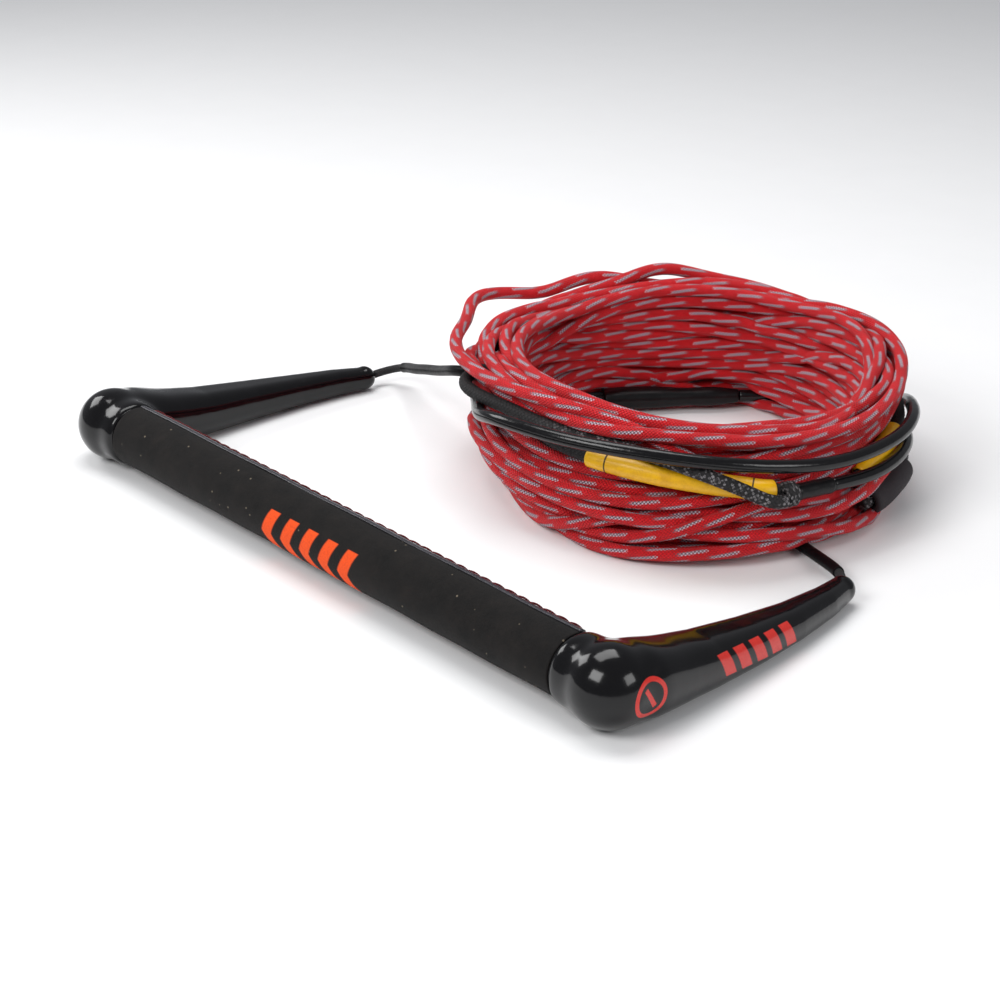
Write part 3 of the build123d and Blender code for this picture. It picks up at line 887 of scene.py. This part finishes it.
def suede_paint():
    """Black suede with lint and a row of plain orange chevrons."""
    p = Paint("grip_suede", Sheen_Weight=0.03, Sheen_Roughness=0.6, Specular_IOR_Level=0.2)
    u, v = p.along()
    place = p.place()
    nap = p.noise(place, 1100.0, 6.0, 0.8)
    patches = p.noise(place, 95.0, 6.0, 0.7)
    black = p.mix(p.ranged(patches, 0.35, 0.68), rgb(9, 7, 6), rgb(38, 32, 29))
    black = p.mix(p.ranged(nap, 0.35, 0.75), rgb(5, 4, 4), black)
    lint = p.node("TexVoronoi", feature="F1")
    p.put(lint.inputs["Vector"], place)
    lint.inputs["Scale"].default_value = 150.0
    black = p.mix(p.ranged(lint.outputs["Distance"], 0.05, 0.085, 0.6, 0.0), black, rgb(140, 128, 110))
    # chevrons
    turned = p.fract(p.plus(u, 0.5))
    from_middle = p.math("ABSOLUTE", p.minus(turned, CHEVRON_TURN))
    reach = p.minus(p.plus(v, p.times(from_middle, CHEVRON_LEAN)), CHEVRON_START)
    stripes = p.stripes(reach, CHEVRON_PITCH, CHEVRON_COUNT, CHEVRON_FILL, 0.0002)
    wide = p.ranged(from_middle, CHEVRON_HALF_TURN - 0.002, CHEVRON_HALF_TURN + 0.002, 1.0, 0.0)
    marks = p.times(p.times(stripes, wide), p.ranged(nap, 0.25, 0.5, 0.75, 1.0))
    p.colour(p.mix(marks, black, p.mix(nap, rgb(214, 58, 14), rgb(255, 98, 34))))
    p.roughness(p.ranged(nap, 0.3, 0.7, 0.78, 0.98))
    p.bump(p.plus(nap, p.times(patches, 0.5)), 0.0003)
    return p.material


def thread_paint():
    """Dark red twisted thread, with painted shade in the grooves of its twist."""
    p = Paint("stitch_thread", Roughness=0.65)
    u, v = p.along()
    turns = p.plus(p.times(u, 2.0), p.times(v, 900.0))
    twist = p.math("SINE", p.times(turns, 2 * math.pi))
    # Painted shade: darker in the grooves of the twist and lighter on its crests, following the same wave as
    # the bump.
    p.colour(p.mix(p.ranged(twist, -1.0, 1.0), rgb(52, 5, 9), rgb(128, 18, 26)))
    p.bump(twist, 0.00008)
    return p.material


def yellow_paint():
    """Yellow tubing with a thin dark line round it near each end."""
    p = Paint(
        "yellow_tubing", Coat_Weight=0.15, Coat_Roughness=0.3, Subsurface_Weight=0.04,
        Subsurface_Radius=(0.002, 0.001, 0.0004),
    )
    place = p.place()
    smudge = p.noise(place, 150.0, 5.0, 0.7)
    fine = p.noise(place, 1200.0, 3.0, 0.6)
    colour = p.mix(p.ranged(smudge, 0.45, 0.8), rgb(246, 188, 2), rgb(214, 150, 4))
    p.colour(p.mix(p.ranged(fine, 0.62, 0.8, 0.0, 0.35), colour, rgb(150, 104, 10)))
    p.roughness(p.ranged(smudge, 0.3, 0.8, 0.32, 0.52))
    p.bump(p.plus(smudge, p.times(fine, 0.3)), 0.00012)
    return p.material


def grained_paint(name, dark, light, scale, detail=5.0, grain=0.7, gloss=None, depth=0.0, **settings):
    """Plain material whose colour, roughness and relief all follow one fine noise."""
    p = Paint(name, **settings)
    pores = p.noise(p.place(), scale, detail, grain)
    p.colour(p.mix(pores, dark, light))
    if gloss:
        p.roughness(p.ranged(pores, 0.3, 0.7, *gloss))
    if depth:
        p.bump(pores, depth)
    return p.material


def metal_paint():
    """Drawn aluminium tube."""
    p = Paint("alloy_tube", Metallic=1.0)
    x, y, z = p.split(p.place())
    drawn = p.noise(p.joined(p.times(x, 0.04), y, z), 2600.0, 3.0)
    p.colour(p.mix(drawn, rgb(168, 170, 174), rgb(206, 208, 212)))
    p.roughness(p.ranged(drawn, 0.3, 0.7, 0.25, 0.42))
    p.bump(drawn, 0.00003)
    return p.material


def dress(piece, material, body, slot, *replaces):
    """Gives a piece its material, body and the CAD nodes that it stands for."""
    piece.data.materials.clear()
    piece.data.materials.append(material)
    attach(piece, body)
    if replaces:
        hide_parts(*replaces)
    return piece


# ---------------------------------------------------------------- camera, light and floor

def stage_and_camera():
    camera = bpy.data.objects.new("camera", bpy.data.cameras.new("camera"))
    camera.location = (0.7264, -0.6075, 0.4462)
    camera.rotation_euler = (math.radians(65.577), 0, math.radians(48.757))
    camera.data.lens = 83.3
    camera.data.sensor_width = 36.0
    bpy.context.scene.collection.objects.link(camera)
    bpy.context.scene.camera = camera

    world = bpy.data.worlds.new("studio")
    world.use_nodes = True
    world.node_tree.nodes["Background"].inputs[0].default_value = (0.92, 0.94, 1.0, 1.0)
    world.node_tree.nodes["Background"].inputs[1].default_value = 0.27
    bpy.context.scene.world = world
    bpy.context.scene.view_settings.view_transform = "Standard"

    for name, place, target, size, power in (
        ("key", (0.10, -0.85, 0.75), (0.0, 0.0, 0.02), (0.60, 0.45), 6.6),
        ("top", (-0.25, 0.15, 1.05), (0.0, 0.06, 0.02), (0.85, 0.55), 7.0),
        ("side", (1.05, 0.25, 0.55), (0.05, 0.05, 0.03), (0.50, 0.40), 3.0),
        ("left", (-0.95, -0.25, 0.65), (0.0, 0.05, 0.03), (0.50, 0.40), 3.5),
    ):
        data = bpy.data.lights.new(name, "AREA")
        data.shape = "RECTANGLE"
        data.size, data.size_y = size
        data.energy = power
        light = bpy.data.objects.new(name, data)
        light.location = place
        light.rotation_euler = (Vector(target) - Vector(place)).to_track_quat("-Z", "Y").to_euler()
        bpy.context.scene.collection.objects.link(light)

    half = 6.0
    corners = [(-half, -half, 0), (half, -half, 0), (half, half, 0), (-half, half, 0)]
    floor = mesh_object("floor", corners, [(0, 1, 2, 3)])
    pale = grained_paint(
        "floor_pale", rgb(246, 246, 246), rgb(249, 249, 249), 30.0, 3.0, 0.6, Roughness=0.9,
    )
    floor.data.materials.append(pale)


stage_and_camera()

# ---------------------------------------------------------------- ropes

flecked = flecked_paint()
black_rope = black_rope_paint()
coating = sleeving_paint("leader_coating", 0.12, 0.26, 0.00012, 0.4)
sleeving = sleeving_paint("black_sleeving", 0.28, 0.46, 0.0002, 0.25)
bridle_sleeving = sleeving_paint("bridle_sleeving", 0.34, 0.5, 0.00015, 0.08)
yellow = yellow_paint()
printed_line = grained_paint(
    "tubing_line", rgb(40, 28, 8), rgb(96, 68, 12), 900.0, 3.0, 0.6, Roughness=0.5,
)


def cord_piece(name, line, radius, sides, step, relief=None):
    """A solid rope or cord along a line, whose ends are a little rounded."""
    profile = rounded_ends(length_of(line), radius, step, radius * 0.35)
    return swept(name, line, profile, sides, relief=relief)


def tube_piece(name, line, radius, bore, step, lip, sides, relief=None):
    """A tube along a line, with rounded mouths."""
    return swept(name, line, tube_wall(length_of(line), radius, bore, step, lip), sides, True, relief)


def braid_relief(strands, cell, depth):
    """Radius change of a braid's crossing strands."""
    def change(angle, along, radius):
        a = angle / (2 * math.pi) * strands + along / cell
        b = angle / (2 * math.pi) * strands - along / cell
        height = np.sqrt(np.abs(np.sin(math.pi * a) * np.sin(math.pi * b)))
        return depth * (height - 0.7)
    return change


# Every route's smooth line, and the lines of what is on it
routes = {
    "leader": leader_points(),
    "side_loop": [on_coil(*p) for p in SIDE_LOOP],
    "left_bridle": bridle_points(LEFT_BRIDLE, 1),
    "right_bridle": bridle_points(RIGHT_BRIDLE, -1),
}
lines = {name: route_line(name, route) for name, route in routes.items()}
away = Vector(lines["leader"][-1] - lines["leader"][-2]).normalized()
leader_end = Vector(lines["leader"][-1])
shrink_end = leader_end + away * SHRINK_LENGTH
knot_end = shrink_end + away * END_KNOT_LENGTH
routes["end_loop"] = end_loop_points(knot_end, away)
lines["end_loop"] = route_line("end_loop", routes["end_loop"])
for name, (route, first, last) in ON_ROUTES.items():
    lines[name] = part_of(lines[route], routes[route], first, last)
lines["join"] = straight(JOIN_START, JOIN_END, (JOIN_END - JOIN_START).length, 60)
lines["shrink"] = straight(leader_end, shrink_end, SHRINK_LENGTH, 30)
lines["knot"] = straight(shrink_end, knot_end, END_KNOT_LENGTH, 12)

# Leader with its heat shrink and knot
leader = cord_piece("leader_coated", lines["leader"], LEADER_R, 20, 0.002)
dress(leader, coating, "rope", "leader_coating", "leader")


def shrink_profile():
    """Heat shrink drawn in at its ends, with a faint waist."""
    rows = []
    for s in np.linspace(0, 1, 40):
        mouth = min(s, 1 - s) / 0.06
        draw = min(1.0, mouth) ** 0.5
        waist = 0.06 * math.cos(4 * math.pi * s)
        rows.append((s * SHRINK_LENGTH, LEADER_R * 1.01 + (SHRINK_R - LEADER_R) * draw * (0.94 + waist)))
    return rows


shrink = swept("leader_heat_shrink", lines["shrink"], shrink_profile(), 28)
dress(shrink, sleeving, "rope", "black_sleeving", "leader_shrink")


def knot_mesh():
    """Wraps of braid about the end of the leader."""
    steps, radius, strand = 120, END_KNOT_WRAP_R, END_KNOT_STRAND_R
    middle = (shrink_end + knot_end) / 2
    side = away.cross(Vector((0, 0, 1))).normalized()
    up = away.cross(side).normalized()
    points = []
    for i in range(steps):
        part = i / (steps - 1)
        turn = 2 * math.pi * END_KNOT_WRAPS * part
        along = (part - 0.5) * (END_KNOT_LENGTH - strand)
        points.append(middle + away * along + side * radius * math.cos(turn) + up * radius * math.sin(turn))
    return cord_piece("end_knot_wraps", np.array(points), strand, 20, 0.0006, braid_relief(6, 0.0018, 0.0004))


knot = knot_mesh()
dress(knot, flecked, "rope", "flecked_braid", "end_knot")

# Loops
loops = {}
for name in ("end_loop", "side_loop"):
    relief = braid_relief(FLECKED_STRANDS, FLECKED_CELL, 0.0005)
    loops[name] = cord_piece(name + "_braid", lines[name], LOOP_R, 28, 0.0006, relief)
    dress(loops[name], flecked, "rope", "flecked_braid", name)


def sleeve_sag(angle, along, radius):
    """Faint waves on the outside of the yellow tubing."""
    return np.where(radius > 0.004, 0.00012 * np.sin(along * 160 + 1.0) * np.cos(angle * 2), 0.0)


def yellow_sleeve(node):
    """Yellow tubing over a loop."""
    tube = tube_piece(node + "_tubing", lines[node], SLEEVE_R, TUBING_BORE_R, 0.001, 0.0007, 40, sleeve_sag)
    return dress(tube, yellow, "rope", "yellow_sleeving", node)


def printed_lines(node):
    """The dark line round the yellow tubing near each of its ends."""
    line = lines[node]
    bands = []
    first, last = TUBING_LINES_IN
    half = TUBING_LINE_WIDTH / 2
    for number, place in enumerate((first, length_of(line) - last)):
        span = at(line, np.linspace(place - half, place + half, 4))
        name = f"{node}_tubing_line_{number}"
        band = tube_piece(name, span, SLEEVE_R + 0.00009, SLEEVE_R - 0.0002, 0.0002, 0.00005, 40)
        bands.append(dress(band, printed_line, "rope", "yellow_sleeving"))
    return bands


front_sleeve = yellow_sleeve("front_sleeve")
front_bands = printed_lines("front_sleeve")
side_sleeve = yellow_sleeve("side_sleeve")

float_paint = grained_paint(
    "float_foam", rgb(30, 26, 29), rgb(54, 47, 51), 900.0, gloss=(0.72, 0.92), depth=PORE_DEPTH,
)


def float_relief(angle, along, radius):
    """Soft dents on the outside of the foam float."""
    return np.where(radius > 0.006, 0.00015 * np.sin(along * 310) * np.sin(angle * 3), 0.0)


line_float = tube_piece(
    "line_float_foam", lines["float"], FLOAT_R, TUBING_BORE_R, 0.001, 0.0014, 40, float_relief,
)
dress(line_float, float_paint, "rope", "float_rubber", "line_float")

# Bridle
ropes = {}
for side in ("left", "right"):
    rope = cord_piece(side + "_bridle_braid", lines[side + "_bridle"], BRIDLE_ROPE_R, 16, 0.0012)
    dress(rope, black_rope, "rope", "bridle_rope", side + "_bridle_rope")
    line = lines[side + "_tube"]
    tube = tube_piece(side + "_bridle_sleeving", line, BRIDLE_TUBE_R, BRIDLE_BORE_R, 0.002, 0.0003, 20)
    dress(tube, bridle_sleeving, "rope", "black_sleeving", side + "_bridle_tube")
    ropes[side] = (rope, tube)


def join_shape(angle, along, radius):
    """Oval section over the two legs, drawn round over the single leader, with soft ripples."""
    part = along / length_of(lines["join"])
    oval = (1 - part) * 0.0007 * np.cos(2 * angle)
    waist = -0.0012 * part - 0.0008 * np.exp(-((part - 0.62) / 0.16) ** 2)
    near_end = 0.0016 * np.exp(-(part / 0.10) ** 2) * (0.5 + 0.5 * np.cos(2 * angle + math.pi))
    far_end = 0.0016 * np.exp(-((1 - part) / 0.14) ** 2)
    return np.where(radius > 0.003, oval + waist - near_end - far_end, 0.0)


join_profile = rounded_ends(length_of(lines["join"]), JOIN_R - 0.0002, 0.0012, 0.0012)
join = swept("join_sleeve_shrink", lines["join"], join_profile, 36, relief=join_shape)
dress(join, sleeving, "rope", "black_sleeving", "join_sleeve")

# Main line
sizes = {
    "leader": LEADER_R, "end_loop": LOOP_R, "side_loop": LOOP_R, "left_bridle": BRIDLE_TUBE_R,
    "right_bridle": BRIDLE_TUBE_R, "front_sleeve": SLEEVE_R, "side_sleeve": SLEEVE_R, "float": FLOAT_R,
    "join": JOIN_R, "shrink": SHRINK_R, "knot": END_KNOT_R,
}
places, thickness = [], []
for name, radius in sizes.items():
    count = max(2, int(length_of(lines[name]) / OBSTACLE_STEP))
    places.append(to_coil(evenly(lines[name], count)))
    thickness.append(np.full(count, radius / MM))
round_it = (np.concatenate(places), np.concatenate(thickness), MAIN_R / MM)
rope_points = settled(wound(MAIN_R / MM), *round_it, SETTLE_ROUNDS)
rope_points = sprung(settled(loosened(rope_points), *round_it, FAN_ROUNDS))
main_route = [coil_frame(*p) for p in rope_points]
lines["main"] = route_line("main_line", main_route, 2)
main_line = cord_piece("main_line_rope", lines["main"], MAIN_R, 10, 0.0024)
dress(main_line, main_line_paint(), "rope", "main_line", "main_line_coil")

# ---------------------------------------------------------------- handle

def modified(piece, *modifiers):
    """Gives a piece the mesh that modifiers make of it. Each is its kind and its settings."""
    for kind, settings in modifiers:
        modifier = piece.modifiers.new(kind.lower(), kind)
        for key, value in settings.items():
            setattr(modifier, key, value)
    graph = bpy.context.evaluated_depsgraph_get()
    mesh = bpy.data.meshes.new_from_object(piece.evaluated_get(graph))
    piece.modifiers.clear()
    piece.vertex_groups.clear()
    piece.data = mesh


def moulded_arm(side):
    """The arm's own shape with its edges melted together as a moulding has them."""
    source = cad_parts[side + "_arm"]
    piece = bpy.data.objects.new(side + "_arm_moulding", source.data.copy())
    bpy.context.scene.collection.objects.link(piece)
    modified(
        piece,
        ("REMESH", {"mode": "VOXEL", "voxel_size": ARM_VOXEL}),
        ("LAPLACIANSMOOTH", {"iterations": 6, "lambda_factor": 1.6}),
        ("SMOOTH", {"factor": 0.5, "iterations": 14}),
    )
    # the elbow's ball and its root in the arm are one mass
    group = piece.vertex_groups.new(name="elbow")
    for vertex in piece.data.vertices:
        y = vertex.co.y - BAR_Y
        weight = min(1.0, max(0.0, (y + ELBOW_MELT_BEFORE) / ELBOW_FADE_BEFORE))
        weight *= min(1.0, max(0.0, (ELBOW_MELT_AFTER - y) / ELBOW_FADE_AFTER))
        group.add([vertex.index], weight, "REPLACE")
    modified(piece, ("SMOOTH", {"factor": 0.5, "iterations": ELBOW_MELT_ROUNDS, "vertex_group": "elbow"}))
    piece.data.polygons.foreach_set("use_smooth", [True] * len(piece.data.polygons))
    return piece


arm_gloss = arm_paint()
for side in ("left", "right"):
    arm = moulded_arm(side)
    dress(arm, arm_gloss, "handle", "arm_plastic", side + "_arm")


def bar_line(half, count):
    """Line along the bar's middle."""
    return np.stack([np.linspace(-half, half, count), np.full(count, BAR_Y), np.full(count, BAR_Z)], 1)


def grip_cover():
    """Suede wrapped on the foam, drawn in at each stitch and tucked in at its ends."""
    _, normal, across = frames_of(bar_line(GRIP_HALF, 3))

    def relief(angle, along, radius):
        direction_y = normal[0][1] * np.cos(angle) + across[0][1] * np.sin(angle)
        direction_z = normal[0][2] * np.cos(angle) + across[0][2] * np.sin(angle)
        turn = np.degrees(np.arctan2(direction_y, direction_z))
        x = along - GRIP_HALF
        off = (turn - STITCH_ANGLE + 180) % 360 - 180
        pucker = -0.00045 * np.exp(-(off / 9.0) ** 2) * (0.5 + 0.5 * np.cos(2 * math.pi * x / STITCH_PITCH))
        lap = 0.0004 * np.exp(-((off + 9.0) / 7.0) ** 2)
        slow = 0.00010 * np.sin(x * 61 + angle * 2) + 0.00008 * np.sin(x * 143 - angle * 3)
        return np.where(radius > FOAM_R + 0.0003, pucker + lap + slow, 0.0)

    line = bar_line(GRIP_HALF, 400)
    wall = tube_wall(2 * GRIP_HALF, GRIP_R, FOAM_R, 0.0009, 0.0006)
    return swept("grip_cover_suede", line, wall, 96, True, relief)


cover = grip_cover()
dress(cover, suede_paint(), "handle", "grip_suede", "grip_cover")


def bar_place(x, angle, radius):
    """Point at a radius about the bar, at an angle in degrees from straight up towards +Y."""
    a = math.radians(angle)
    return (x, BAR_Y + radius * math.sin(a), BAR_Z + radius * math.cos(a))


def grip_seam():
    """Folded edge that stands proud along the bar, pulled by the stitches behind it."""
    count, around = 360, 10
    vertices, faces = [], []
    for i in range(count):
        x = -GRIP_HALF + 2 * GRIP_HALF * i / (count - 1)
        pull = 0.5 + 0.5 * math.cos(2 * math.pi * x / STITCH_PITCH)
        wide = SEAM_WIDTH_DEG / 2 * (1 - 0.10 * pull)
        for k in range(around):
            a = 2 * math.pi * k / around
            turn = SEAM_ANGLE + wide * math.cos(a) - 0.5 * pull
            lift = GRIP_R + SEAM_THICK * (0.35 + 0.65 * math.sin(a)) + 0.00012 * math.sin(x * 90)
            vertices.append(bar_place(x, turn, lift))
    for i in range(count - 1):
        for k in range(around):
            m = (k + 1) % around
            faces.append((i * around + k, i * around + m, (i + 1) * around + m, (i + 1) * around + k))
    faces.append(tuple(range(around))[::-1])
    faces.append(tuple((count - 1) * around + k for k in range(around)))
    return mesh_object("grip_seam_fold", vertices, faces)


seam = grip_seam()
# Seam edge: its own dark colour, lightened to a grey that is partly a painted highlight along the glossy
# fold.
seam_edge = grained_paint(
    "grip_seam_edge", rgb(22, 21, 24), rgb(64, 62, 70), 500.0, grain=0.65, gloss=(0.22, 0.38),
    depth=0.0001, Coat_Weight=0.2,
)
dress(seam, seam_edge, "handle", "grip_seam_edge", "grip_seam")


def grip_stitches():
    """Whip stitches over the lap, as short bent threads."""
    rng = np.random.default_rng(5)
    pieces = []
    for i in range(STITCH_COUNT):
        x = (i - (STITCH_COUNT - 1) / 2) * STITCH_PITCH
        slant = 0.0016 + rng.uniform(-0.0003, 0.0003)
        points = []
        for part in np.linspace(-1, 1, 9):
            height = GRIP_R + 0.0002 + 0.00045 * (1 - part ** 2)
            points.append(bar_place(x + slant * part, STITCH_ANGLE + 11.5 * part, height))
        pieces.append(cord_piece(f"stitch_{i}", np.array(points), STITCH_R, 10, 0.0008))
    for piece in pieces:
        piece.select_set(True)
    with bpy.context.temp_override(
        active_object=pieces[0], object=pieces[0], selected_objects=pieces, selected_editable_objects=pieces,
    ):
        bpy.ops.object.join()
    pieces[0].name = "grip_stitch_threads"
    return pieces[0]


stitches = grip_stitches()
dress(stitches, thread_paint(), "handle", "stitch_thread", "grip_stitches")

# ---------------------------------------------------------------- CAD nodes that stay

foam = grained_paint(
    "foam_pores", rgb(60, 60, 62), rgb(92, 92, 94), 1400.0, gloss=(0.85, 0.98), depth=PORE_DEPTH,
)
plug_plastic = grained_paint(
    "plug_plastic", rgb(24, 24, 25), rgb(44, 44, 46), 500.0, gloss=(0.45, 0.62), depth=PORE_DEPTH,
)
tail_rope = grained_paint(
    "inner_rope", rgb(14, 14, 15), rgb(40, 40, 42), 1800.0, gloss=(0.7, 0.9), depth=PORE_DEPTH,
)
for node, material in (
    ("core_tube", metal_paint()), ("foam_core", foam),
    ("left_tube_plug", plug_plastic), ("right_tube_plug", plug_plastic),
    ("left_stopper_knot", tail_rope), ("right_stopper_knot", tail_rope),
    ("left_rope_tail", tail_rope), ("right_rope_tail", tail_rope),
):
    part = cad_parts[node]
    part.data.materials.clear()
    part.data.materials.append(material)

# ---------------------------------------------------------------- what is a cord

for side in ("left", "right"):
    line = lines[side + "_bridle"]
    rope, tube = ropes[side]
